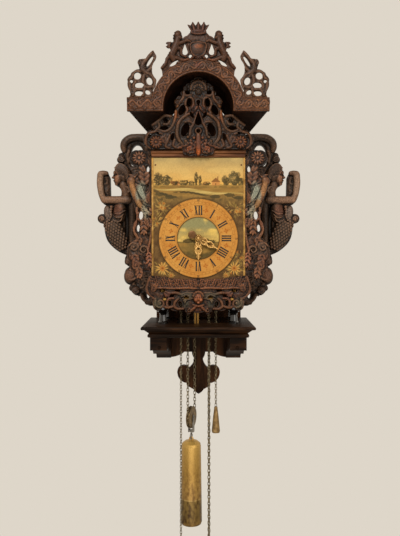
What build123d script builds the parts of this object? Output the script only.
from build123d import *
from math import asin, atan2, cos, degrees, hypot, pi, radians, sin, sqrt
import os

# A weight-driven chair clock that hangs on a wall: a posted brass movement stands
# on the seat of a carved wooden chair, under a hood, behind cast and painted frets.
# Millimetres. X to the clock's left as seen from the front is negative, the front
# faces -Y, +Z is up. The origin is on the wall plane (y = 0), on the centre line,
# level with the top of the seat. "Depth" means the distance out from the wall.

# Backboard
BOARD_THICK = 15.0
BOARD_HALF = 88.0
BOARD_FOOT_Z = -83.0
BOARD_TOP_Z = 408.0
TAIL_TIP_Z = -160.0
LOBE_X = 28.0
LOBE_Z = -119.0
LOBE_R = 16.0
STEM_HALF = 9.0

# Hanging plate
HANG_Z = 428.0
HANG_BORE_R = 4.5
PLATE_W = 34.0
PLATE_H = 46.0
PLATE_THICK = 2.0
POCKET_R = 9.0
POCKET_DEEP = 7.0
SCREW_HEAD_R = 3.0

# Seat and its brackets
SEAT_HALF = 101.0
SEAT_DEPTH = 220.0
SEAT_THICK = 5.6
COVE_H = 7.4
COVE_INSET = 9.0
BEAD_H = 7.0
CHAIN_GAP_HALF = 42.0
CHAIN_GAP_FRONT = 144.0
CHAIN_GAP_BACK = 68.0
BRACKET_IN = 57.0
BRACKET_OUT = 87.0
BRACKET_DEPTH = 190.0
BRACKET_FRONT_Z = -45.0
BRACKET_MID_Z = -62.0
STUD_R = 3.6

# Hood
HOOD_DEPTH = 200.0
HOOD_HALF = 127.6
HOOD_THICK = 10.0
SOFFIT_Z = 384.0
SOFFIT_THICK = 7.0
SOFFIT_BACK_HALF = 104.0
HOOD_FLAT_Z = 408.6
ARCH_Z = 391.3
ARCH_IN_R = 62.7
ARCH_OUT_R = 85.0
VAULT_THICK = 4.0
CREST_THICK = 7.0
MERMAID_THICK = 16.0

# Movement frame
FRAME_HALF = 73.0
FRAME_FRONT = 163.0
FRAME_BACK = 47.0
FRAME_LOW_Z = 44.0
FRAME_HIGH_Z = 290.0
FRAME_PLATE = 4.0
PILLAR_X = 66.0
PILLAR_FRONT = 149.0
PILLAR_BACK = 53.0
PILLAR_R = 4.5
FOOT_LEG_R = 7.0
FOOT_BALL_R = 13.0
FOOT_BALL_Z = 30.7
STRAP_HALF = 12.0
STRAP_THICK = 4.0
STRAP_FRONT = 149.0
STRAP_MIDDLE = 102.0
STRAP_BACK = 57.0
ARBOR_R = 2.0
PIVOT_GAP = 0.25

# Dial
DIAL_HALF = 82.8
DIAL_LOW_Z = 76.0
DIAL_HIGH_Z = 306.6
DIAL_THICK = 2.0
EDGE_STRIP = 3.2
RAIL_HALF = 86.0
RAIL_TOP_Z = 320.0
CENTRE_Z = 158.0
RING_OUT_R = 72.5
RING_IN_R = 39.3
RING_THICK = 2.0
DISC_R = 38.6
DISC_THICK = 1.2
HOUR_HAND_L = 40.5
MINUTE_HAND_L = 42.0
MINUTE_ANGLE = 119.0
COUNTERPOISE_X = 13.0
COUNTERPOISE_R = 6.8
HAND_THICK = 1.4

# Frets
FRET_THICK = 4.0
CHERUB_Z = 48.0
CHERUB_R = 10.0

# Going train: teeth, and the heights of the arbors on the centre line
GREAT_Z = 115.0
GREAT_TEETH = 48
CENTRE_LEAVES = 6
CENTRE_TEETH = 45
THIRD_Z = 196.0
THIRD_LEAVES = 6
MOTION_LEAVES = 24
HOUR_TEETH = 36
CONTRATE_R = 22.0
CONTRATE_TEETH = 36
CROWN_LEAVES = 6
CROWN_R = 14.5
CROWN_TEETH = 15
WHEEL_THICK = 2.5
GOING_SPROCKET_R = 20.4
GOING_CHAIN_Y = -118.0

# Strike train, bell and alarm
STRIKE_X = 6.4
STRIKE_TEETH = 48
STRIKE_SPROCKET_R = 14.0
STRIKE_CHAIN_Y = -82.0
PIN_CIRCLE_R = 30.0
FLY_LEAVES = 6
FLY_R = 18.0
BELL_R = 38.0
BELL_RIM_Z = 318.0
BELL_H = 32.0
BELL_WALL = 2.0
BELL_Y = -100.0
POST_R = 4.0
HAMMER_X = -52.0
HAMMER_Z = 284.0
HAMMER_FRONT_Y = -112.0
HAMMER_BACK_Y = -88.0
ALARM_PULLEY_R = 33.0
ALARM_CHAIN_Y = -134.0

# Pendulum
PENDULUM_Z = 278.0
PENDULUM_Y = -33.0
PENDULUM_L = 156.0
BOB_R = 17.0

# Side doors
DOOR_X = 73.4
DOOR_THICK = 1.2
DOOR_HINGE_X = 76.5
DOOR_HINGE_Y = -49.5
DOOR_FRONT = 152.0

# Chains and weights
CHAIN_R = 1.9
THIN_CHAIN_R = 1.5
SHEAVE_Z = -187.0
SHEAVE_FLANGE = 1.9
HOOK_END_Z = -231.0
HOOK_R = 4.5
HOOK_WIRE = 1.4
EYE_R = 3.9
EYE_WIRE = 1.1
WEIGHT_TOP_Z = -230.5
WEIGHT_LOW_Z = -393.3
WEIGHT_TOP_R = 18.7
WEIGHT_LOW_R = 20.9
RING_Z = -440.0
RING_R = 9.0
RING_WIRE = 3.2
CONE_TOP_Z = -158.0
CONE_LOW_Z = -207.5
CONE_R = 7.8
ALARM_WEIGHT_TOP_Z = -425.0
ALARM_WEIGHT_L = 42.0
ALARM_WEIGHT_R = 11.0

# Places that the trains share
PIPE_R = 4.0
MOTION_Y = -158.5
GREAT_Y = -111.0
CENTRE_Y = -127.0
CONTRATE_Y = -137.0
STRIKE_Y = -71.0
COUNT_Y = -52.0
CROWN_FOOT_Z = THIRD_Z + CONTRATE_R - 9.0
CROWN_Z = 257.0
CROWN_TOOTH_Z = CROWN_Z + 8.9
CROWN_HEAD_Z = CROWN_TOOTH_Z + 1.6

# Places worked out from the sizes above
BOARD_FRONT = -BOARD_THICK
COVE_Z = -SEAT_THICK - COVE_H
BEAD_Z = COVE_Z - BEAD_H
DIAL_FRONT = -(FRAME_FRONT + DIAL_THICK)
FRAME_TOP_Z = FRAME_HIGH_Z + FRAME_PLATE
FRAME_LOW_TOP = FRAME_LOW_Z + FRAME_PLATE
HUB_R = ARBOR_R + PIVOT_GAP
SIDES = (-1, 1)


# Shapes

def bent(points, bulge=0.0, mirrored=False):
    """A closed face through the points. A point (x, z) ends a straight edge or, with a
    bulge, a lobe; (x, z, b) gives its own edge a bulge of b times the chord."""
    pts = [tuple(p) + (bulge,) if len(p) == 2 else tuple(p) for p in points]
    if mirrored:
        back = []
        for here, after in zip(pts[::-1], [None] + pts[:0:-1]):
            if abs(here[0]) > 1e-6:
                b = after[2] if after else 0.0
                back.append((-here[0], here[1], b))
        if abs(pts[-1][0]) > 1e-6:
            back[0] = (back[0][0], back[0][1], 0.0)
        closing = pts[1][2] if abs(pts[0][0]) < 1e-6 else 0.0
        pts = [(pts[0][0], pts[0][1], closing)] + pts[1:] + back
    edges = []
    for a, b in zip(pts, pts[1:] + pts[:1]):
        start, end = Vector(a[0], a[1]), Vector(b[0], b[1])
        chord = end - start
        if abs(b[2]) < 1e-6:
            edges.append(Line(start, end))
        else:
            side = Vector(-chord.Y, chord.X) * b[2]
            edges.append(ThreePointArc(start, (start + end) * 0.5 + side, end))
    return make_face(edges)


def board(face, front, thick):
    """Stands a face drawn in x and z upright, from the front plane back."""
    upright = Plane(origin=(0, front + thick, 0), x_dir=(1, 0, 0), z_dir=(0, -1, 0))
    return extrude(upright * face, thick)


def disc_y(x, z, radius, front, thick):
    """A round plate across Y."""
    return board(Pos(x, z) * Circle(radius), front, thick)


def block(x0, x1, y0, y1, z0, z1):
    return Pos((x0 + x1) / 2, (y0 + y1) / 2, (z0 + z1) / 2) * Box(x1 - x0, y1 - y0, z1 - z0)


def rod(start, end, radius):
    """A round bar between two points."""
    along = Vector(*end) - Vector(*start)
    foot = Plane(origin=start, z_dir=along.normalized())
    return foot * Cylinder(radius, along.length, align=(Align.CENTER, Align.CENTER, Align.MIN))


def turned(profile, x=0.0, y=0.0):
    """A body turned about a vertical line through (x, y); the profile is (r, z) points."""
    face = make_face(Polyline(*[(r, 0, z) for r, z in profile], close=True))
    return Pos(x, y, 0) * revolve(face, Axis.Z)


def lathe_y(profile, x, z):
    """A body turned about a line along Y; the profile is (r, y) points."""
    face = make_face(Polyline(*[(r, y, 0) for r, y in profile], close=True))
    return Pos(x, 0, z) * revolve(face, Axis.Y)


def mirror_x(shape):
    return mirror(shape, Plane.YZ)


def hole(x, z, wide, high, turn=0.0):
    return Pos(x, z) * Rot(0, 0, turn) * Ellipse(wide, high)


def tear(x, z, radius, length, turn=0.0):
    """A drop-shaped hole: a round end at (x, z) and a point the length away."""
    lean = asin(radius / length)
    touch = (radius * cos(lean), radius * sin(lean))
    point = (0.0, length)
    left = (-touch[0], touch[1])
    edges = [
        Line(touch, point),
        Line(point, left),
        ThreePointArc(left, (0.0, -radius), touch),
    ]
    return Pos(x, z) * Rot(0, 0, turn) * make_face(edges)


def pierced(face, holes):
    for cut in holes:
        face = face - cut
    return face


def dome(x, z, radius, front, high):
    """A low boss on a board's front, a truncated cone with a flat top."""
    base = [(0, front), (radius, front), (radius * 0.72, front - high), (0, front - high)]
    return lathe_y(base, x, z)


def save(name, shape):
    export_step(shape, f"parts/{name}.step")


# Toothed wheels

def gear_face(teeth, pitch_r, phase, bore=0.0):
    """A wheel outline with narrow straight-sided teeth; a tooth is centred on phase."""
    module = 2 * pitch_r / teeth
    tip = pitch_r + 0.75 * module
    root = pitch_r - 1.05 * module
    step = 2 * pi / teeth
    corners = ((-0.24, root), (-0.11, tip), (0.11, tip), (0.24, root))
    points = []
    for k in range(teeth):
        for share, r in corners:
            a = phase + (k + share) * step
            points.append((r * cos(a), r * sin(a)))
    face = make_face(Polyline(*points, close=True))
    return face - Circle(bore) if bore else face


def spoked(face, rim_r, hub_r, arms=4, wide=5.0):
    """Cuts the openings between a wheel's arms."""
    ring = Circle(rim_r) - Circle(hub_r)
    for k in range(arms):
        ring = ring - Rot(0, 0, 360 / arms * k) * Pos(rim_r / 2, 0) * Rectangle(rim_r * 1.1, wide)
    return face - ring


def wheel_y(face, x, z, front, thick):
    return board(Pos(x, z) * face, front, thick)


def sprocket(x, z, radius, chain_y, chain_r, bore=0.0):
    """A grooved chain wheel with spikes that stand in the links."""
    core = radius - chain_r - 0.15
    rim = radius + 1.2
    half = chain_r + 1.1
    inner = chain_r + 0.35
    shape = lathe_y([
        (bore, chain_y - half), (rim, chain_y - half), (rim, chain_y - inner),
        (core, chain_y - inner), (core, chain_y + inner), (rim, chain_y + inner),
        (rim, chain_y + half), (bore, chain_y + half),
    ], x, z)
    return shape


# Chair

def backboard():
    """One plank from the hood to a scrolled tail, with an arched top inside the vault."""
    half = bent([
        (0, ARCH_Z + ARCH_IN_R + 2.0),
        (ARCH_IN_R * 0.92, BOARD_TOP_Z, 0.17),
        (BOARD_HALF, BOARD_TOP_Z),
        (BOARD_HALF, BOARD_FOOT_Z),
        (BOARD_HALF - 28.0, BOARD_FOOT_Z),
        (33.0, BOARD_FOOT_Z + 8.0, 0.07),
        (30.0, BOARD_FOOT_Z + 11.0),
        (STEM_HALF + 5.0, BOARD_FOOT_Z + 11.0),
        (STEM_HALF, BOARD_FOOT_Z - 3.0, 0.08),
        (LOBE_X - 8.0, LOBE_Z + 13.0, -0.12),
        (LOBE_X + LOBE_R, LOBE_Z, 0.42),
        (LOBE_X - 1.0, LOBE_Z - 18.0, 0.16),
        (LOBE_X - 4.0, LOBE_Z - 19.0),
        (LOBE_X - 10.0, LOBE_Z - 27.0, 0.24),
        (11.0, LOBE_Z - 31.0, 0.05),
        (0, TAIL_TIP_Z, 0.08),
    ], mirrored=True)
    plank = board(half, BOARD_FRONT, BOARD_THICK)
    recess = block(-PLATE_W / 2, PLATE_W / 2, -PLATE_THICK, 1,
                   HANG_Z - PLATE_H / 2, HANG_Z + PLATE_H / 2)
    pocket = disc_y(0, HANG_Z, POCKET_R, -PLATE_THICK - POCKET_DEEP, POCKET_DEEP + 1)
    plank = plank - recess - pocket
    for z in (HANG_Z - PLATE_H / 2 + 6, HANG_Z + PLATE_H / 2 - 6):
        plank = plank - disc_y(0, z, 1.2, -PLATE_THICK - 7, 8)
    return plank


def hanging_plate():
    plate = block(-PLATE_W / 2, PLATE_W / 2, -PLATE_THICK, 0,
                  HANG_Z - PLATE_H / 2, HANG_Z + PLATE_H / 2)
    plate = plate - disc_y(0, HANG_Z, HANG_BORE_R, -PLATE_THICK - 1, PLATE_THICK + 2)
    for z in (HANG_Z - PLATE_H / 2 + 6, HANG_Z + PLATE_H / 2 - 6):
        plate = plate + disc_y(0, z, 1.2, -PLATE_THICK - 6, 6.5)
    return plate


def seat_hole(z0, z1):
    return block(-CHAIN_GAP_HALF, CHAIN_GAP_HALF, -CHAIN_GAP_FRONT, -CHAIN_GAP_BACK, z0, z1)


def seat_board():
    slab = block(-SEAT_HALF, SEAT_HALF, -SEAT_DEPTH, BOARD_FRONT, -SEAT_THICK, 0)
    nose = slab.edges().filter_by(Axis.X).sort_by(Axis.Y)[:2]
    ends = slab.edges().filter_by(Axis.Y).group_by(Axis.X)
    slab = fillet(nose + ends[0] + ends[-1], SEAT_THICK * 0.42)
    return slab - seat_hole(-SEAT_THICK - 1, 1)


def seat_moulding():
    """The cove and the bead below the seat's edge, on its front and both ends."""
    half = SEAT_HALF - 5.0
    depth = SEAT_DEPTH - 6.0
    top = Plane.XY.offset(-SEAT_THICK) * Pos(0, (BOARD_FRONT - depth) / 2) * Rectangle(
        2 * half, depth + BOARD_FRONT)
    low_depth = depth - COVE_INSET
    low = Plane.XY.offset(COVE_Z) * Pos(0, (BOARD_FRONT - low_depth) / 2) * Rectangle(
        2 * (half - COVE_INSET), low_depth + BOARD_FRONT)
    cove = loft([low, top])
    bead_half = half - COVE_INSET + 3.0
    bead = block(-bead_half, bead_half, -low_depth - 3.0, BOARD_FRONT, BEAD_Z, COVE_Z)
    round_edges = bead.edges().filter_by(Axis.X).sort_by(Axis.Y)[:2]
    ends = bead.edges().filter_by(Axis.Y).group_by(Axis.X)
    bead = fillet(round_edges + ends[0] + ends[-1], BEAD_H * 0.42)
    return cove + bead - seat_hole(BEAD_Z - 1, 0)


def bracket(side):
    """A stepped block under one end of the seat, deepest at the wall, with a small
    faceted boss low on its front."""
    profile = make_face([
        Polyline((BOARD_FRONT, BEAD_Z), (-BRACKET_DEPTH, BEAD_Z),
                 (-BRACKET_DEPTH, BRACKET_FRONT_Z), (-BRACKET_DEPTH + 22, BRACKET_FRONT_Z)),
        ThreePointArc((-BRACKET_DEPTH + 22, BRACKET_FRONT_Z), (-138, BRACKET_FRONT_Z - 5),
                      (-112, BRACKET_MID_Z)),
        Line((-112, BRACKET_MID_Z), (-92, BRACKET_MID_Z)),
        ThreePointArc((-92, BRACKET_MID_Z), (-52, BRACKET_MID_Z - 4), (-24, BOARD_FOOT_Z)),
        Polyline((-24, BOARD_FOOT_Z), (BOARD_FRONT, BOARD_FOOT_Z), (BOARD_FRONT, BEAD_Z)),
    ])
    middle = side * (BRACKET_IN + BRACKET_OUT) / 2
    wide = BRACKET_OUT - BRACKET_IN
    base = Plane(origin=(side * 70.0, -BRACKET_DEPTH, BRACKET_FRONT_Z + 5), z_dir=(0, -1, 0))
    stud = base * Cone(STUD_R, 0.8, 2.6, align=(Align.CENTER, Align.CENTER, Align.MIN))
    return Pos(middle, 0, 0) * extrude(Plane.YZ.offset(-wide / 2) * profile, wide) + stud


def hood_front():
    """The arched front board of the hood, with a raised band of carved leaves."""
    lift = ARCH_Z - SOFFIT_Z
    foot_x = sqrt(ARCH_IN_R ** 2 - lift ** 2)
    face = Pos(0, ARCH_Z) * Circle(ARCH_OUT_R)
    flat = Pos(0, (SOFFIT_Z + HOOD_FLAT_Z) / 2) * Rectangle(2 * HOOD_HALF, HOOD_FLAT_Z - SOFFIT_Z)
    face = face + flat
    below = Pos(0, SOFFIT_Z - 60) * Rectangle(400, 120)
    face = face - Pos(0, ARCH_Z) * Circle(ARCH_IN_R) - below
    face = face - Pos(0, SOFFIT_Z + lift / 2) * Rectangle(2 * foot_x, lift + 1)
    shape = board(face, -HOOD_DEPTH + 2, HOOD_THICK - 2)
    band = Pos(0, ARCH_Z) * (Circle(ARCH_OUT_R - 3) - Circle(ARCH_IN_R + 3))
    band = band - Pos(0, ARCH_Z - 60) * Rectangle(400, 120)
    return shape + board(band, -HOOD_DEPTH, 3)


def soffit(side):
    """A board from the front to the backboard, narrower at the wall."""
    inner = ARCH_IN_R + 0.5
    front = -HOOD_DEPTH + HOOD_THICK
    points = [(inner, front), (HOOD_HALF - 4, front), (SOFFIT_BACK_HALF, BOARD_FRONT),
              (BOARD_HALF + 0.5, BOARD_FRONT), (inner, BOARD_FRONT)]
    face = make_face(Polyline(*[(side * x, y) for x, y in points], close=True))
    return Pos(0, 0, SOFFIT_Z) * extrude(face, SOFFIT_THICK)


def vault():
    """Half a barrel from the arch back to the backboard."""
    ring = Circle(ARCH_IN_R + VAULT_THICK) - Circle(ARCH_IN_R)
    ring = ring - Pos(0, -100) * Rectangle(300, 200)
    face = Pos(0, ARCH_Z) * ring
    front = -HOOD_DEPTH + HOOD_THICK
    return board(face, front, BOARD_FRONT - front)


def crest_centre():
    """A crown over a bare shield, held by two beasts with looped tails."""
    foot_x = 64.0
    foot_z = ARCH_Z + sqrt(ARCH_OUT_R ** 2 - foot_x ** 2)
    outline = bent([
        (0, 544), (5, 537), (10, 544), (14, 537.5), (20, 539), (15, 531), (12, 526),
        (20, 519, 0.05), (28.5, 513.5, 0.1), (30, 521, 0.1), (42, 525, 0.42),
        (44.5, 508, 0.08), (51, 506), (51, 497, 0.8), (49, 488, -0.1),
        (56, 482, 0.2), (58, 475, 0.2), (60, 468), (67.5, 461.5, 0.1),
        (65, 456), (foot_x, foot_z), (0, ARCH_Z + ARCH_OUT_R, -0.11),
    ], mirrored=True)
    holes = []
    for side in SIDES:
        holes += [
            Pos(side * 57, 501.5) * Circle(2.8),
            tear(side * 24, 489.5, 5.0, 15.0),
            Pos(side * 14, 482) * Circle(3.2),
            hole(side * 43, 469.5, 9.5, 2.8, -side * 32),
        ]
    face = pierced(outline, holes)
    front = -HOOD_DEPTH + 2
    shape = board(face, front, CREST_THICK - 2)
    shield = bent([(0, 508), (15, 504, 0.1), (13, 488, 0.12), (0, 480, 0.1)], mirrored=True)
    crown = bent([(0, 532), (13, 530, 0.08), (11, 524), (0, 522)], mirrored=True)
    shape = shape + board(shield, front - 2, 3) + board(crown, front - 2, 3)
    for side in SIDES:
        shape = shape + dome(side * 36, 519, 6.5, front, 2)
    return shape


def crest_corner(side):
    """Pierced leaf scrolls on the flat end of the hood front."""
    outline = bent([
        (77.5, 0), (82, 11.4), (77, 21.4), (75, 31.4), (82, 41.4, -0.1), (83.5, 53.4),
        (79, 64.4, -0.05), (75, 74.4, 0.1), (80.5, 84.4), (88, 77.4, 0.08), (94, 66.9),
        (104, 67.4, 0.2), (107, 57.4, 0.2), (105, 50.4), (116, 46.4, 0.12), (121, 37.4, 0.2),
        (126.5, 27.4, 0.15), (124.5, 15.4, 0.1), (121, 6.4, -0.1), (124, 0),
    ])
    holes = [
        hole(86.5, 64.4, 2.6, 10.5, 32), Pos(109, 38.4) * Circle(6.3),
        hole(87.5, 28.9, 5.0, 7.0, -20), hole(105, 21.4, 8.5, 5.0),
        Pos(120, 28.4) * Circle(3.0), hole(90.5, 8.9, 5.0, 3.6, 30),
        hole(106, 6.9, 8.0, 4.2),
    ]
    face = Pos(0, HOOD_FLAT_Z) * pierced(outline, holes) - Pos(0, ARCH_Z) * Circle(ARCH_OUT_R)
    shape = board(face, -HOOD_DEPTH + 1, CREST_THICK - 1)
    shape = shape + dome(99, HOOD_FLAT_Z + 51.4, 5, -HOOD_DEPTH + 1, 1.5)
    return shape if side > 0 else mirror_x(shape)


def mermaid(side):
    """A carved side piece: a scroll at the top, a mermaid with one raised arm, her
    scaled tail, and leaf scrolls down to the seat."""
    inner = BOARD_HALF - 8.0
    outline = bent([
        (inner, 377), (132, 381.5, 0.04), (153, 375, 0.1), (162.5, 358, 0.12),
        (157, 342, 0.1), (166, 334, 0.3), (162, 320, 0.35), (171, 313, 0.12),
        (175, 301, 0.05), (179, 290.5), (175, 287), (175, 282, 0.2), (170, 274, 0.1),
        (161, 269), (157, 260, -0.1), (158, 251), (182, 251), (183, 290), (188, 301),
        (203, 303.5, 0.15), (210, 288, 0.05), (207, 262), (199, 239, 0.08), (191, 233, 0.1),
        (195.5, 222, 0.1), (196, 215), (199, 196, 0.62), (194, 192), (193, 172, 0.05),
        (180, 149, 0.08), (149, 130, 0.06), (151, 117, 0.2), (142, 106, 0.2),
        (153, 90, 0.2), (141, 68, 0.25), (138, 55, 0.35), (119, 48.5, 0.25),
        (110, 34, 0.12), (98, 25, 0.2), (inner, 31, 0.1),
    ])
    scroll_eye = bent([
        (115, 340), (119, 354, 0.1), (131, 358, 0.2), (139, 345, 0.1), (141, 327),
        (138, 316, 0.1), (131, 316, 0.2), (128, 332, -0.1), (122, 339, -0.1),
    ])
    holes = [
        scroll_eye, hole(103.5, 308, 4.5, 8.0), hole(118, 212, 6.0, 11.0),
        hole(123.5, 186, 5.0, 9.0), hole(103.5, 49, 4.0, 9.5),
    ]
    front = BOARD_FRONT - MERMAID_THICK
    shape = board(pierced(outline, holes), front, MERMAID_THICK)
    head = Pos(156, front, 297) * scale(Sphere(1), (16.5, 15, 18))
    chest = Pos(162, front, 226) * scale(Sphere(1), (17, 13, 22))
    tail = Pos(172, front, 178) * Rot(0, 24, 0) * scale(Sphere(1), (18, 13, 41))
    arm = rod((152, front, 243), (192, front, 243), 7) + rod((192, front, 243), (196, front, 293), 7)
    arch = rod((100, front, 362), (118, front, 370), 6) + rod((118, front, 370), (142, front, 368), 6)
    arch = arch + rod((142, front, 368), (151, front, 352), 6)
    relief = head + chest + tail + arm + arch
    relief = relief - block(0, 300, front + 1, 100, 0, 600)
    shape = shape + relief + dome(138, 87, 14, front, 7)
    return shape if side > 0 else mirror_x(shape)


# Movement frame

def feet():
    profile = [(0, 0), (FOOT_LEG_R + 2, 0), (FOOT_LEG_R + 2, 3), (FOOT_LEG_R, 5),
               (FOOT_LEG_R - 1, 16), (FOOT_LEG_R, FOOT_BALL_Z - 11.5)]
    for k in range(7):
        a = radians(-62 + 124 / 6 * k)
        profile.append((FOOT_BALL_R * cos(a), FOOT_BALL_Z + FOOT_BALL_R * sin(a)))
    profile += [(5.0, FRAME_LOW_Z), (0, FRAME_LOW_Z)]
    places = [(side * PILLAR_X, -y) for side in SIDES for y in (PILLAR_FRONT, PILLAR_BACK)]
    return Compound(children=[turned(profile, x, y) for x, y in places])


def frame_plate(z, front, gap):
    plate = block(-FRAME_HALF, FRAME_HALF, -front, -FRAME_BACK, z, z + FRAME_PLATE)
    for side in SIDES:
        lug = block(side * DOOR_HINGE_X - 3, side * DOOR_HINGE_X + 3, DOOR_HINGE_Y - 3,
                    -FRAME_BACK, z, z + FRAME_PLATE)
        bar = block(min(side * 70, side * DOOR_HINGE_X), max(side * 70, side * DOOR_HINGE_X),
                    DOOR_HINGE_Y - 3, -FRAME_BACK, z, z + FRAME_PLATE)
        pin_hole = Pos(side * DOOR_HINGE_X, DOOR_HINGE_Y, z) * Cylinder(1.4, 20)
        plate = plate + lug + bar - pin_hole
    return plate - gap if gap else plate


def bottom_plate():
    gap = seat_hole(FRAME_LOW_Z - 1, FRAME_LOW_TOP + 1)
    plate = frame_plate(FRAME_LOW_Z, -DIAL_FRONT, gap)
    for y in (STRAP_MIDDLE,):
        bar = block(-CHAIN_GAP_HALF - 1, CHAIN_GAP_HALF + 1, -y, -y + STRAP_THICK,
                    FRAME_LOW_Z, FRAME_LOW_TOP)
        plate = plate + bar
    return plate


def top_plate():
    gap = block(HAMMER_X - 4, HAMMER_X + 17, -106, -94, FRAME_HIGH_Z - 1, FRAME_TOP_Z + 1)
    plate = frame_plate(FRAME_HIGH_Z, FRAME_FRONT, gap)
    for y in (HAMMER_FRONT_Y, HAMMER_BACK_Y):
        ear = block(HAMMER_X - 4, HAMMER_X + 4, y - 1.5, y + 1.5, HAMMER_Z - 4, FRAME_HIGH_Z)
        plate = plate + ear - rod((HAMMER_X, y - 3, HAMMER_Z), (HAMMER_X, y + 3, HAMMER_Z), HUB_R)
    return plate


def pillars():
    profile = [(0, FRAME_LOW_TOP), (PILLAR_R + 2, FRAME_LOW_TOP), (PILLAR_R + 2, FRAME_LOW_TOP + 3),
               (PILLAR_R, FRAME_LOW_TOP + 6), (PILLAR_R, FRAME_HIGH_Z - 6),
               (PILLAR_R + 2, FRAME_HIGH_Z - 3), (PILLAR_R + 2, FRAME_HIGH_Z), (0, FRAME_HIGH_Z)]
    places = [(side * PILLAR_X, -y) for side in SIDES for y in (PILLAR_FRONT, PILLAR_BACK)]
    return Compound(children=[turned(profile, x, y) for x, y in places])


def strap(depth, half, holes):
    """An upright bar between the plates that carries the arbors' pivots."""
    bar = block(-half, half, -depth, -depth + STRAP_THICK, FRAME_LOW_TOP, FRAME_HIGH_Z)
    for x, z, r in holes:
        bar = bar - disc_y(x, z, r, -depth - 1, STRAP_THICK + 2)
    return bar


def crown_shelf(x0, x1, y0, y1, low):
    """A small shelf that holds one pivot of the upright crown wheel arbor."""
    pivot = Pos(0, crown_axis_y(), low) * Cylinder(1.0, 20)
    return block(x0, x1, y0, y1, low, low + 3) - pivot


def strap_front():
    bar = strap(STRAP_FRONT, STRAP_HALF, [
        (0, GREAT_Z, HUB_R), (0, CENTRE_Z, HUB_R), (0, THIRD_Z, HUB_R), (0, PENDULUM_Z, HUB_R)])
    back = -STRAP_FRONT + STRAP_THICK
    crown_y = crown_axis_y()
    side_bar = block(-11, -7, back, crown_y + 4, CROWN_HEAD_Z, CROWN_HEAD_Z + 3)
    return bar + side_bar + crown_shelf(-11, 4, crown_y - 4, crown_y + 4, CROWN_HEAD_Z)


def strap_middle():
    bar = strap(STRAP_MIDDLE, STRAP_HALF, [
        (0, GREAT_Z, HUB_R), (STRIKE_X, GREAT_Z, HUB_R), (0, CENTRE_Z, HUB_R),
        (STRIKE_X, fly_z(), HUB_R), (0, THIRD_Z, HUB_R), (0, PENDULUM_Z, HUB_R + 0.4)])
    return bar + crown_shelf(-3, 3, crown_axis_y() - 3, -STRAP_MIDDLE, CROWN_FOOT_Z - 3)


def strap_back():
    return strap(STRAP_BACK, STRAP_HALF, [
        (STRIKE_X, GREAT_Z, HUB_R), (STRIKE_X, fly_z(), HUB_R), (0, PENDULUM_Z, HUB_R)])


def strap_feet():
    """Two narrow bars that tie the front strap's foot to the seat."""
    bars = [block(x, x + 3.2, -STRAP_FRONT - 1, -STRAP_FRONT + 3, 0, FRAME_LOW_Z)
            for x in (-7.5, -2.5)]
    return Compound(children=bars)


# Dial and frets

def dial_plate():
    middle = (DIAL_LOW_Z + DIAL_HIGH_Z) / 2
    face = Pos(0, middle) * Rectangle(2 * DIAL_HALF, DIAL_HIGH_Z - DIAL_LOW_Z)
    face = face - Pos(0, CENTRE_Z) * Circle(PIPE_R + 0.6)
    plate = board(face, DIAL_FRONT, DIAL_THICK)
    for side in SIDES:
        plate = plate + disc_y(side * 79, 293, 1.6, DIAL_FRONT - 0.3, 1)
    return plate


def dial_edges():
    """Upright strips along both edges of the dial plate."""
    strips = []
    for side in SIDES:
        inner, outer = sorted((side * DIAL_HALF, side * (DIAL_HALF + EDGE_STRIP)))
        strips.append(block(inner, outer, DIAL_FRONT, DIAL_FRONT + 5, DIAL_LOW_Z, DIAL_HIGH_Z))
    return Compound(children=strips)


def top_rail():
    """The double moulding over the dial."""
    low = DIAL_HIGH_Z
    step = (RAIL_TOP_Z - low) / 2
    lower = block(-RAIL_HALF, RAIL_HALF, DIAL_FRONT - 3, -FRAME_FRONT + 6, low, low + step)
    upper = block(-RAIL_HALF - 1, RAIL_HALF + 1, DIAL_FRONT - 4, -FRAME_FRONT + 6,
                  low + step, RAIL_TOP_Z)
    edges = lower.edges().filter_by(Axis.X).sort_by(Axis.Y)[:2]
    lower = fillet(edges, step * 0.4)
    edges = upper.edges().filter_by(Axis.X).sort_by(Axis.Y)[:2]
    upper = fillet(edges, step * 0.4)
    tail = block(-RAIL_HALF + 20, RAIL_HALF - 20, -FRAME_FRONT, -FRAME_FRONT + 6,
                 FRAME_TOP_Z, low)
    return lower + upper + tail


def chapter_ring():
    face = Pos(0, CENTRE_Z) * (Circle(RING_OUT_R) - Circle(RING_IN_R))
    return board(face, DIAL_FRONT - RING_THICK, RING_THICK)


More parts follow.
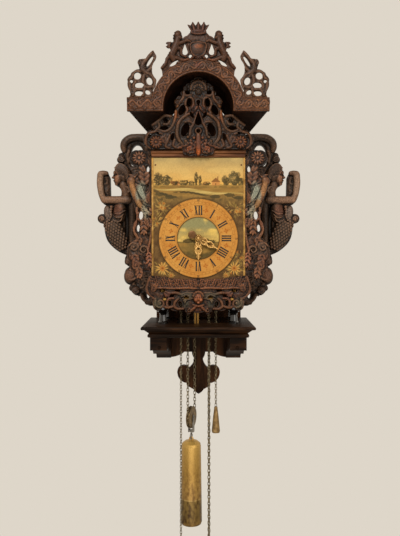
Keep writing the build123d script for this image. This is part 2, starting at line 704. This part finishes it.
def top_fret():
    """The tall pierced fret over the rail: scrolls, flowers and a leaf finial."""
    base = RAIL_TOP_Z
    outline = bent([
        (0, 452.5), (9, 448.5, 0.15), (15, 441, 0.2), (23, 438, 0.2), (27, 429, 0.2),
        (33, 421, 0.2), (31, 417), (40, 414, 0.25), (43.5, 404, 0.2), (41, 395, 0.1),
        (45, 382, 0.05), (66, 382.5, 0.12), (77, 373, 0.1), (87, 366, 0.05), (83, 360),
        (79, 355, 0.1), (96, 348, 0.2), (98, 330, 0.25), (86, base, 0.1), (30, base),
        (29, 314, -0.1), (20, 310, 0.2), (8, 309.5, 0.2), (0, 308, 0.1),
    ], mirrored=True)
    holes = [tear(0, 371, 6.5, 19), tear(0, 407, 3.4, 8, 180), Pos(0, 353) * Circle(4.0)]
    for side in SIDES:
        holes += [
            hole(side * 24, 356, 6.8, 12.5, side * 20), hole(side * 17, 406, 4.2, 8.0),
            hole(side * 30, 392, 5.5, 10.0, side * 25), hole(side * 20, 424, 4.6, 3.2),
            Pos(side * 60, 374) * Circle(4.4), hole(side * 62, 359, 8.0, 3.4),
            hole(side * 47, 343, 3.0, 7.0, side * 12), hole(side * 75, 350, 4.2, 2.2),
            hole(side * 89, 345, 2.4, 4.5, side * 35), hole(side * 12, 383, 2.6, 6.0, -side * 30),
        ]
    front = DIAL_FRONT - 9
    shape = board(pierced(outline, holes), front, FRET_THICK)
    for side in SIDES:
        shape = shape + dome(side * 77, 333, 12, front, 2.5) + dome(side * 39, 406, 5, front, 2)
    return shape + dome(0, 432, 9, front, 2.5) + dome(0, 336, 12, front, 2)


def side_fret(side):
    """A painted casting beside the dial: a daisy, a winged figure and leaf scrolls."""
    inner = DIAL_HALF + EDGE_STRIP
    outline = bent([
        (inner, 305), (89, 305.5), (92, 315, -0.1), (111, 320.5, 0.15), (126, 310, 0.25),
        (125, 298, 0.25), (114, 291, 0.2), (108, 282), (116, 272), (129, 275, 0.15), (132, 262, 0.1),
        (127, 246), (122, 235), (118, 216), (113, 200), (114, 191), (120, 180, 0.1),
        (114, 160, 0.1), (123, 150, 0.2), (131, 134, 0.15), (127, 114, 0.12),
        (121, 96, 0.12), (109, 78.5, 0.1), (102, 97, 0.1), (93, 96, 0.1), (inner, 92),
    ])
    holes = [
        hole(94, 286, 3.8, 6.5, -15), hole(94.5, 250, 2.2, 8.0, 22), hole(92, 213, 2.0, 5.0),
        hole(105.5, 200, 4.0, 8.0, 4), hole(111, 177, 3.0, 6.5), hole(91.5, 169, 3.2, 8.5),
        hole(100, 138, 2.4, 5.0, 20), hole(107, 118, 2.4, 5.0), hole(99, 122, 2.0, 3.6, -20),
    ]
    front = DIAL_FRONT + 1
    shape = board(pierced(outline, holes), front, FRET_THICK)
    body = Pos(121, front, 248) * Rot(0, -14, 0) * scale(Sphere(1), (7, 5, 24))
    body = body - block(0, 300, front + 1, 0, 0, 600)
    shape = shape + dome(111, 307, 12, front, 2.5) + body + dome(113, 100, 8, front, 2)
    return shape if side > 0 else mirror_x(shape)


def bottom_fret():
    """The pierced apron below the dial, with a cherub's head between leaf scrolls."""
    outline = bent([
        (0, 84.5), (60, 87, -0.05), (DIAL_HALF + 7, 90), (93, 80), (97.5, 64), (93, 55, 0.1),
        (84, 50, 0.1), (83, 38, 0.2), (76, 25, 0.2), (66, 31, 0.2), (52, 28, 0.1),
        (36, 25, 0.15), (24, 27), (21.5, 22, 0.4), (13, 22, 0.5), (8, 22), (0, 21, 0.1),
    ], mirrored=True)
    holes = []
    for side in SIDES:
        holes += [
            hole(side * 22, 49.5, 5.5, 3.6), hole(side * 66, 61.5, 5.5, 2.2),
            hole(side * 38, 62, 5.0, 2.0), hole(side * 48, 52.5, 4.0, 2.2, -side * 25),
            hole(side * 62, 46.5, 2.6, 4.6, side * 20), hole(side * 52, 40, 2.0, 5.0),
            hole(side * 33, 37, 3.2, 5.4, -side * 25), Pos(side * 17, 25.5) * Circle(1.7),
        ]
    front = DIAL_FRONT - FRET_THICK
    shape = board(pierced(outline, holes), front, FRET_THICK)
    head = Pos(0, front + 1, CHERUB_Z) * scale(Sphere(1), (CHERUB_R - 1, 7, CHERUB_R))
    head = head - block(-30, 30, front + 1, 0, 0, 200)
    shape = shape + head
    for side in SIDES:
        shape = shape + dome(side * 70, 39, 9, front, 2.5)
    return shape


def hour_hand():
    """A pierced hand that points down, on the hour pipe, with its wheel behind the dial."""
    tip = CENTRE_Z - HOUR_HAND_L
    half = bent([
        (0, CENTRE_Z), (6, CENTRE_Z - 3, 0.2), (3.5, CENTRE_Z - 10, 0.1),
        (5.5, CENTRE_Z - 20, 0.25), (2, tip + 9, 0.2), (2.2, tip + 4, 0.4), (0, tip),
    ], mirrored=True)
    eye = tear(0, CENTRE_Z - 19, 2.4, 8)
    front = DIAL_FRONT - 6
    hand = board(half - eye + Pos(0, CENTRE_Z) * Circle(7), front, HAND_THICK)
    bore = HUB_R
    end = MOTION_Y + WHEEL_THICK
    pipe = lathe_y([(bore, front), (PIPE_R, front), (PIPE_R, end), (bore, end)], 0, CENTRE_Z)
    shape = hand + pipe + hour_wheel()
    return shape - lathe_y([(0, front - 1), (bore, front - 1), (bore, 0), (0, 0)], 0, CENTRE_Z)


def hour_wheel():
    pitch = (CENTRE_Z - GREAT_Z) * HOUR_TEETH / (HOUR_TEETH + MOTION_LEAVES)
    face = gear_face(HOUR_TEETH, pitch, -pi / 2 + pi / HOUR_TEETH, PIPE_R)
    face = spoked(face, pitch - 5, PIPE_R + 4)
    return wheel_y(face, 0, CENTRE_Z, MOTION_Y, WHEEL_THICK)


def alarm_disc():
    face = Pos(0, CENTRE_Z) * (Circle(DISC_R) - Circle(PIPE_R + 0.15))
    return board(face, DIAL_FRONT - DISC_THICK - 0.3, DISC_THICK)


def minute_hand():
    """A pierced hand with a round counterpoise, on the arbor that crosses the dial."""
    length = MINUTE_HAND_L
    arm = bent([
        (0, 0), (4, -5, -0.2), (12, -4.5, -0.2), (20, -4, -0.25), (29, -3, -0.25),
        (36, -1.2, -0.1), (length, 0), (36, 1.2), (29, 3, -0.1), (20, 4, -0.25),
        (12, 4.5, -0.25), (4, 5, -0.2),
    ])
    arm = arm - Pos(12, 0) * Ellipse(3, 1.8) - Pos(22, 0) * Ellipse(3, 1.6)
    tail = Pos(-COUNTERPOISE_X, 0) * Circle(COUNTERPOISE_R)
    stem = Pos(-COUNTERPOISE_X / 2, 0) * Rectangle(COUNTERPOISE_X, 3.4)
    flat = arm + tail + stem + Circle(6)
    turn = 90 - MINUTE_ANGLE
    front = DIAL_FRONT - 9
    hand = board(Pos(0, CENTRE_Z) * Rot(0, 0, turn) * flat, front, HAND_THICK)
    rosette = dome(0, CENTRE_Z, 6, front, 3)
    return hand + rosette - disc_y(0, CENTRE_Z, ARBOR_R, front, 20)


# Trains

def crown_axis_y():
    """The upright arbor stands back of the contrate teeth by the pinion's radius."""
    pitch = CONTRATE_R * CROWN_LEAVES / CONTRATE_TEETH
    return CONTRATE_Y + 4.5 + pitch


def fly_z():
    return GREAT_Z + (CENTRE_Z - GREAT_Z)


def pair_radii(distance, driver, follower):
    module = distance / (driver + follower)
    return module * driver, module * follower


def arbor_y(x, z, front, back, radius=ARBOR_R):
    return rod((x, front, z), (x, back, z), radius)


def great_wheel():
    """The going great wheel, its sprocket and the small wheel that drives the hour wheel."""
    pitch, _ = pair_radii(CENTRE_Z - GREAT_Z, GREAT_TEETH, CENTRE_LEAVES)
    front_pitch, _ = pair_radii(CENTRE_Z - GREAT_Z, MOTION_LEAVES, HOUR_TEETH)
    face = spoked(gear_face(GREAT_TEETH, pitch, pi / 2 + pi / GREAT_TEETH), pitch - 6, 8)
    shape = wheel_y(face, 0, GREAT_Z, GREAT_Y, WHEEL_THICK)
    shape = shape + sprocket(0, GREAT_Z, GOING_SPROCKET_R, GOING_CHAIN_Y, CHAIN_R)
    small = gear_face(MOTION_LEAVES, front_pitch, pi / 2)
    shape = shape + wheel_y(small, 0, GREAT_Z, MOTION_Y, WHEEL_THICK)
    return shape + arbor_y(0, GREAT_Z, MOTION_Y - 1, -STRAP_MIDDLE + 2)


def centre_wheel():
    """The minute arbor from the middle strap out through the dial, with its pinion."""
    _, leaf_r = pair_radii(CENTRE_Z - GREAT_Z, GREAT_TEETH, CENTRE_LEAVES)
    pitch, _ = pair_radii(THIRD_Z - CENTRE_Z, CENTRE_TEETH, THIRD_LEAVES)
    pinion = gear_face(CENTRE_LEAVES, leaf_r, -pi / 2)
    shape = wheel_y(pinion, 0, CENTRE_Z, GREAT_Y - 1, WHEEL_THICK + 2)
    face = spoked(gear_face(CENTRE_TEETH, pitch, pi / 2 + pi / CENTRE_TEETH), pitch - 5, 7)
    shape = shape + wheel_y(face, 0, CENTRE_Z, CENTRE_Y, WHEEL_THICK)
    return shape + arbor_y(0, CENTRE_Z, DIAL_FRONT - 9, -STRAP_MIDDLE + 2)


def contrate_wheel():
    """A wheel whose teeth stand along its axis and turn the upright crown wheel arbor."""
    _, leaf_r = pair_radii(THIRD_Z - CENTRE_Z, CENTRE_TEETH, THIRD_LEAVES)
    pinion = gear_face(THIRD_LEAVES, leaf_r, -pi / 2)
    shape = wheel_y(pinion, 0, THIRD_Z, CENTRE_Y - 1, WHEEL_THICK + 2)
    face = spoked(Circle(CONTRATE_R + 1.6), CONTRATE_R - 4, 6)
    shape = shape + wheel_y(face, 0, THIRD_Z, CONTRATE_Y, 2)
    step = 360 / CONTRATE_TEETH
    tooth = block(-0.6, 0.6, CONTRATE_Y + 1.5, CONTRATE_Y + 5.6, CONTRATE_R - 1.6, CONTRATE_R + 1.4)
    for k in range(CONTRATE_TEETH):
        shape = shape + Pos(0, 0, THIRD_Z) * Rot(0, (k + 0.5) * step, 0) * tooth
    return shape + arbor_y(0, THIRD_Z, -STRAP_FRONT + 1, -STRAP_MIDDLE + 2)


def crown_wheel():
    """The escape wheel on an upright arbor, its pointed teeth upwards."""
    y = crown_axis_y()
    pitch = CONTRATE_R * CROWN_LEAVES / CONTRATE_TEETH
    pinion = gear_face(CROWN_LEAVES, pitch, -pi / 2)
    leaf_z = THIRD_Z + CONTRATE_R - 4
    shape = Pos(0, y, leaf_z) * extrude(pinion, 8)
    disc = [(0, CROWN_Z), (CROWN_R, CROWN_Z), (CROWN_R, CROWN_Z + 4), (CROWN_R - 1.6, CROWN_Z + 4),
            (CROWN_R - 1.6, CROWN_Z + 2), (0, CROWN_Z + 2)]
    shape = shape + turned(disc, 0, y)
    outline = [(0, 0), (4.6, 0), (0.6, 5)]
    tooth = extrude(Plane.XZ * make_face(Polyline(*outline, close=True)), 1.6)
    for k in range(CROWN_TEETH):
        turn = 360 / CROWN_TEETH * k
        shape = shape + Pos(0, y, CROWN_Z + 3.9) * Rot(0, 0, turn) * Pos(0, CROWN_R, 0) * tooth
    shape = shape + Pos(0, y, (CROWN_FOOT_Z + CROWN_HEAD_Z) / 2) * Cylinder(
        1.4, CROWN_HEAD_Z - CROWN_FOOT_Z - 0.4)
    for z in (CROWN_FOOT_Z - 1, CROWN_HEAD_Z + 1):
        shape = shape + Pos(0, y, z) * Cylinder(0.75, 3)
    return shape


def verge():
    """The pallet staff over the crown wheel, and the crutch that guides the pendulum."""
    y = crown_axis_y()
    shape = arbor_y(0, PENDULUM_Z, -STRAP_FRONT + 1, -44, ARBOR_R)
    for turn, at in ((-30, y - CROWN_R), (30, y + CROWN_R)):
        drop = PENDULUM_Z - CROWN_TOOTH_Z - 0.6
        flag = block(-0.5, 0.5, at - 1.5, at + 1.5, -drop, 0)
        shape = shape + Pos(0, 0, PENDULUM_Z) * Rot(0, turn, 0) * flag
    shape = shape + block(-1.5, 1.5, -47, -44.5, PENDULUM_Z - 46, PENDULUM_Z)
    shape = shape + block(-4.5, 4.5, -47, -44.5, PENDULUM_Z - 48, PENDULUM_Z - 44)
    for side in SIDES:
        x0, x1 = sorted((side * 2.3, side * 4.5))
        shape = shape + block(x0, x1, -47, PENDULUM_Y + 4, PENDULUM_Z - 48, PENDULUM_Z - 45)
    return shape


def pendulum():
    """A rod hung by an eye on a pin behind the movement, with a round bob."""
    eye = lathe_y([(1.2, PENDULUM_Y - 1.2), (3.4, PENDULUM_Y - 1.2), (3.4, PENDULUM_Y + 1.2),
                   (1.2, PENDULUM_Y + 1.2)], 0, PENDULUM_Z)
    bob_z = PENDULUM_Z - PENDULUM_L
    shape = eye + rod((0, PENDULUM_Y, bob_z - 22), (0, PENDULUM_Y, PENDULUM_Z - 2.6), 1.4)
    bob = lathe_y([(0, PENDULUM_Y - 5), (BOB_R * 0.6, PENDULUM_Y - 4), (BOB_R, PENDULUM_Y),
                   (BOB_R * 0.6, PENDULUM_Y + 4), (0, PENDULUM_Y + 5)], 0, bob_z)
    return shape + bob + Pos(0, PENDULUM_Y, bob_z - 19) * Cylinder(3, 3)


def pendulum_cock():
    """The block on the backboard whose pin carries the pendulum."""
    arm = block(-7, 7, PENDULUM_Y - 6, BOARD_FRONT, PENDULUM_Z + 4.5, PENDULUM_Z + 11)
    cheeks = [block(-4, 4, PENDULUM_Y - 5, PENDULUM_Y - 2, PENDULUM_Z - 3, PENDULUM_Z + 5),
              block(-4, 4, PENDULUM_Y + 2, PENDULUM_Y + 5, PENDULUM_Z - 3, PENDULUM_Z + 5)]
    pin = arbor_y(0, PENDULUM_Z, PENDULUM_Y - 4, PENDULUM_Y + 4, 1.0)
    foot = block(-9, 9, BOARD_FRONT - 3, BOARD_FRONT, PENDULUM_Z - 8, PENDULUM_Z + 15)
    return arm + cheeks[0] + cheeks[1] + pin + foot


def strike_wheel():
    """The striking great wheel with its sprocket and the pins that lift the hammer."""
    pitch, _ = pair_radii(fly_z() - GREAT_Z, STRIKE_TEETH, FLY_LEAVES)
    face = spoked(gear_face(STRIKE_TEETH, pitch, pi / 2 + pi / STRIKE_TEETH), PIN_CIRCLE_R - 3, 8)
    shape = wheel_y(face, STRIKE_X, GREAT_Z, STRIKE_Y, WHEEL_THICK)
    for k in range(8):
        a = pi / 4 * (k + 0.5)
        x, z = STRIKE_X + PIN_CIRCLE_R * cos(a), GREAT_Z + PIN_CIRCLE_R * sin(a)
        shape = shape + disc_y(x, z, 1.0, STRIKE_Y - 4, 4.5)
    shape = shape + sprocket(STRIKE_X, GREAT_Z, STRIKE_SPROCKET_R, STRIKE_CHAIN_Y, CHAIN_R)
    return shape + count_wheel() + arbor_y(STRIKE_X, GREAT_Z, -STRAP_MIDDLE + 2.2, COUNT_Y + 2.5)


def count_wheel():
    """The slotted locking plate that counts the blows, on the same arbor."""
    face = Circle(30) - Circle(ARBOR_R)
    turn = 0.0
    for blows in range(1, 13):
        turn += (blows + 1) * 360 / 90
        face = face - Rot(0, 0, turn) * Pos(29, 0) * Rectangle(4, 3)
    face = spoked(face, 23, 7)
    return wheel_y(face, STRIKE_X, GREAT_Z, COUNT_Y, 1.5)


def fly():
    """The striking train's air brake: two vanes on a pinion arbor."""
    _, leaf_r = pair_radii(fly_z() - GREAT_Z, STRIKE_TEETH, FLY_LEAVES)
    pinion = gear_face(FLY_LEAVES, leaf_r, -pi / 2)
    shape = wheel_y(pinion, STRIKE_X, fly_z(), STRIKE_Y - 1, WHEEL_THICK + 2)
    vane = block(STRIKE_X - FLY_R, STRIKE_X + FLY_R, -65, -60, fly_z() - 0.6, fly_z() + 0.6)
    return shape + vane + arbor_y(STRIKE_X, fly_z(), -STRAP_MIDDLE + 2.2, -STRAP_BACK + 2)


def bell():
    """An open bell, mouth down."""
    steps = 7
    outer = [(BELL_R * cos(radians(90 / steps * k)) + 0.0, BELL_H * sin(radians(90 / steps * k)))
             for k in range(steps)]
    outer = [(r if k else BELL_R + 1.5, z) for k, (r, z) in enumerate(outer)] + [(0, BELL_H)]
    inner = [((r - BELL_WALL), max(z - BELL_WALL, 0)) for r, z in outer[:-1]][::-1]
    profile = outer + [(0, BELL_H - BELL_WALL)] + inner
    profile = [(max(r, 0), z + BELL_RIM_Z) for r, z in profile]
    return turned(profile, 0, BELL_Y) - Pos(0, BELL_Y, BELL_RIM_Z + BELL_H) * Cylinder(POST_R, 20)


def bell_stand():
    """A post from the top plate through the bell's crown, with a nut over it."""
    crown = BELL_RIM_Z + BELL_H
    profile = [(0, FRAME_TOP_Z), (9, FRAME_TOP_Z), (9, FRAME_TOP_Z + 3), (POST_R, FRAME_TOP_Z + 3),
               (POST_R, crown), (7, crown), (6, crown + 3), (0, crown + 3)]
    return turned(profile, 0, BELL_Y)


def hammer():
    """A hammer beside the bell's rim, with a tail down to the striking wheel's pins."""
    head_x = -BELL_R - 5.8
    back = HAMMER_BACK_Y + 5.0
    shape = arbor_y(HAMMER_X, HAMMER_Z, HAMMER_FRONT_Y - 2, back)
    shape = shape + rod((HAMMER_X, BELL_Y, HAMMER_Z), (head_x - 1, BELL_Y, BELL_RIM_Z + 3), 1.4)
    shape = shape + Pos(head_x, BELL_Y, BELL_RIM_Z + 3) * Sphere(3.8)
    tail = (STRIKE_X - 20.9, STRIKE_Y - 6, GREAT_Z + 24.9)
    shape = shape + rod((HAMMER_X, back - 2, HAMMER_Z), tail, 1.3)
    return shape + arbor_y(HAMMER_X, HAMMER_Z, back - 3.2, back, 2.8)


def alarm_pulley():
    return sprocket(0, GREAT_Z, ALARM_PULLEY_R, ALARM_CHAIN_Y, THIN_CHAIN_R, HUB_R)


# Doors

def door(side):
    """A sheet brass side door on pins at the back corner of the frame."""
    low, high = FRAME_LOW_TOP + 1, FRAME_HIGH_Z - 1
    sheet = block(DOOR_X, DOOR_X + DOOR_THICK, -DOOR_FRONT, DOOR_HINGE_Y, low, high)
    knuckle = Pos(DOOR_HINGE_X, DOOR_HINGE_Y, (low + high) / 2) * Cylinder(2.0, high - low)
    leaf = block(DOOR_X, DOOR_HINGE_X, DOOR_HINGE_Y - 2, DOOR_HINGE_Y, low, high)
    pin = Pos(DOOR_HINGE_X, DOOR_HINGE_Y, (FRAME_LOW_Z + FRAME_TOP_Z) / 2) * Cylinder(
        1.15, FRAME_TOP_Z - FRAME_LOW_Z)
    knob = Plane(origin=(DOOR_X + DOOR_THICK, -DOOR_FRONT + 9, 170), z_dir=(1, 0, 0)) * Cylinder(
        2.6, 5, align=(Align.CENTER, Align.CENTER, Align.MIN))
    shape = sheet + knuckle + leaf + pin + knob
    return shape if side > 0 else mirror_x(shape)


# Chains and weights

def strand(x, y, top, low, radius):
    return Pos(x, y, low) * Cylinder(radius, top - low, align=(Align.CENTER, Align.CENTER, Align.MIN))


def sheave_centre():
    going_x, strike_x = -GOING_SPROCKET_R, STRIKE_X - STRIKE_SPROCKET_R
    return ((going_x + strike_x) / 2, (GOING_CHAIN_Y + STRIKE_CHAIN_Y) / 2)


def sheave_plane():
    """The upright plane through both strands that carry the weight."""
    x, y = sheave_centre()
    across = Vector(STRIKE_X - STRIKE_SPROCKET_R + GOING_SPROCKET_R, STRIKE_CHAIN_Y - GOING_CHAIN_Y, 0)
    return Plane(origin=(x, y, SHEAVE_Z), x_dir=across.normalized(), z_dir=across.cross(Vector(0, 0, 1)))


def sheave_r():
    return hypot(STRIKE_X - STRIKE_SPROCKET_R + GOING_SPROCKET_R, STRIKE_CHAIN_Y - GOING_CHAIN_Y) / 2


def weight_chains():
    """The two strands from the sprockets down to the pulley."""
    strands = [strand(-GOING_SPROCKET_R, GOING_CHAIN_Y, GREAT_Z, SHEAVE_Z, CHAIN_R),
               strand(STRIKE_X - STRIKE_SPROCKET_R, STRIKE_CHAIN_Y, GREAT_Z, SHEAVE_Z, CHAIN_R)]
    return Compound(children=strands)


def pulley_chain():
    """The half turn of chain under the pulley."""
    radius = sheave_r()
    half = sheave_plane() * ThreePointArc((-radius, 0), (0, -radius), (radius, 0))
    return sweep(Plane(origin=half @ 0, z_dir=half % 0) * Circle(CHAIN_R), path=half)


def sheave():
    radius = sheave_r()
    core = radius - CHAIN_R - 0.3
    rim = radius + SHEAVE_FLANGE
    inner = CHAIN_R + 0.4
    half = inner + 1.0
    profile = [(1.8, -half), (rim, -half), (rim, -inner), (core, -inner), (core, inner),
               (rim, inner), (rim, half), (1.8, half)]
    face = make_face(Polyline(*[(r, 0, z) for r, z in profile], close=True))
    return sheave_plane() * revolve(face, Axis.Z)


def shackle():
    """The strap round the pulley, its pin, and the hook that holds the weight."""
    plane = sheave_plane()
    half = CHAIN_R + 0.4 + 1.0
    low = HOOK_END_Z + 19 - SHEAVE_Z
    cheeks = [plane * Pos(0, low / 2, z) * Box(8, -low + 8, 1.6)
              for z in (-half - 1.1, half + 1.1)]
    yoke = plane * Pos(0, low - 1.5, 0) * Box(8, 3.6, 2 * half + 3.8)
    pin = plane * Cylinder(1.6, 2 * half + 5)
    stem = plane * Pos(0, low - 6, 0) * Rot(90, 0, 0) * Cylinder(1.5, 8)
    ring = plane * Pos(0, low - 12, 0) * Torus(HOOK_R, HOOK_WIRE)
    return cheeks[0] + cheeks[1] + yoke + pin + stem + ring


def weight():
    x, y = sheave_centre()
    top, low = WEIGHT_TOP_Z, WEIGHT_LOW_Z
    profile = [(0, top), (5, top - 0.4), (12, top - 2.5), (WEIGHT_TOP_R - 1, top - 7),
               (WEIGHT_TOP_R, top - 12), (WEIGHT_LOW_R, low + 4), (WEIGHT_LOW_R - 1.5, low), (0, low)]
    body = turned(profile, x, y)
    hook_low = HOOK_END_Z + 19 - 12 - HOOK_R
    eye_z = hook_low + HOOK_WIRE + EYE_WIRE + 0.05 - EYE_R
    ring = sheave_plane() * Pos(0, eye_z - SHEAVE_Z, 0) * Rot(0, 90, 0) * Torus(EYE_R, EYE_WIRE)
    return body + ring


def ring_chains():
    """The free strands of the endless chain, from the sprockets to the tension ring."""
    x = GOING_SPROCKET_R
    middle = (GOING_CHAIN_Y + STRIKE_CHAIN_Y) / 2
    radius = (STRIKE_CHAIN_Y - GOING_CHAIN_Y) / 2
    low = RING_Z + radius
    strands = [strand(x, GOING_CHAIN_Y, GREAT_Z, low, CHAIN_R),
               strand(x, STRIKE_CHAIN_Y, GREAT_Z, low, CHAIN_R)]
    turn = Plane(origin=(x, middle, low), x_dir=(0, 1, 0), z_dir=(1, 0, 0))
    half = turn * ThreePointArc((-radius, 0), (0, -radius), (radius, 0))
    bend = sweep(Plane(origin=half @ 0, z_dir=half % 0) * Circle(CHAIN_R), path=half)
    return strands[0] + strands[1] + bend


def tension_ring():
    """A lead ring that hangs in the bight and keeps the chain taut."""
    middle = (GOING_CHAIN_Y + STRIKE_CHAIN_Y) / 2
    seat = CHAIN_R + RING_WIRE + 0.1 - RING_R
    plane = Plane(origin=(GOING_SPROCKET_R, middle, RING_Z + seat), z_dir=(0, 1, 0))
    return plane * Torus(RING_R, RING_WIRE)


def alarm_chain():
    return strand(-ALARM_PULLEY_R, ALARM_CHAIN_Y, GREAT_Z, ALARM_WEIGHT_TOP_Z, THIN_CHAIN_R)


def alarm_weight():
    top, low = ALARM_WEIGHT_TOP_Z, ALARM_WEIGHT_TOP_Z - ALARM_WEIGHT_L
    profile = [(0, top), (4, top), (ALARM_WEIGHT_R - 1, top - 4), (ALARM_WEIGHT_R, top - 8),
               (ALARM_WEIGHT_R + 0.8, low + 2), (ALARM_WEIGHT_R, low), (0, low)]
    return turned(profile, -ALARM_PULLEY_R, ALARM_CHAIN_Y)


def cone_chain():
    return strand(ALARM_PULLEY_R, ALARM_CHAIN_Y, GREAT_Z, CONE_TOP_Z, THIN_CHAIN_R)


def cone_weight():
    top, low = CONE_TOP_Z, CONE_LOW_Z
    profile = [(0, top), (3.0, top - 1), (3.4, top - 5), (CONE_R - 2.5, top - 20),
               (CONE_R, low + 3), (CONE_R - 0.8, low), (0, low)]
    return turned(profile, ALARM_PULLEY_R, ALARM_CHAIN_Y)


PIECES = {
    "backboard": backboard,
    "hanging_plate": hanging_plate,
    "seat_board": seat_board,
    "seat_moulding": seat_moulding,
    "hood_front": hood_front,
    "hood_vault": vault,
    "crest_centre": crest_centre,
    "movement_feet": feet,
    "frame_bottom_plate": bottom_plate,
    "frame_top_plate": top_plate,
    "frame_pillars": pillars,
    "strap_front": strap_front,
    "strap_middle": strap_middle,
    "strap_back": strap_back,
    "strap_feet": strap_feet,
    "dial_plate": dial_plate,
    "dial_edges": dial_edges,
    "top_rail": top_rail,
    "chapter_ring": chapter_ring,
    "top_fret": top_fret,
    "bottom_fret": bottom_fret,
    "hour_hand": hour_hand,
    "alarm_disc": alarm_disc,
    "minute_hand": minute_hand,
    "great_wheel": great_wheel,
    "centre_wheel": centre_wheel,
    "contrate_wheel": contrate_wheel,
    "crown_wheel": crown_wheel,
    "verge": verge,
    "pendulum": pendulum,
    "pendulum_cock": pendulum_cock,
    "strike_wheel": strike_wheel,
    "fly": fly,
    "bell": bell,
    "bell_stand": bell_stand,
    "hammer": hammer,
    "alarm_pulley": alarm_pulley,
    "weight_chains": weight_chains,
    "pulley_chain": pulley_chain,
    "sheave": sheave,
    "shackle": shackle,
    "weight": weight,
    "ring_chains": ring_chains,
    "tension_ring": tension_ring,
    "alarm_chain": alarm_chain,
    "alarm_weight": alarm_weight,
    "cone_chain": cone_chain,
    "cone_weight": cone_weight,
}

PAIRS = {
    "bracket": bracket,
    "hood_soffit": soffit,
    "crest_corner": crest_corner,
    "mermaid": mermaid,
    "side_fret": side_fret,
    "door": door,
}

os.makedirs("parts", exist_ok=True)
for name, make in PIECES.items():
    save(name, make())
for name, make in PAIRS.items():
    save(f"{name}_left", make(-1))
    save(f"{name}_right", make(1))
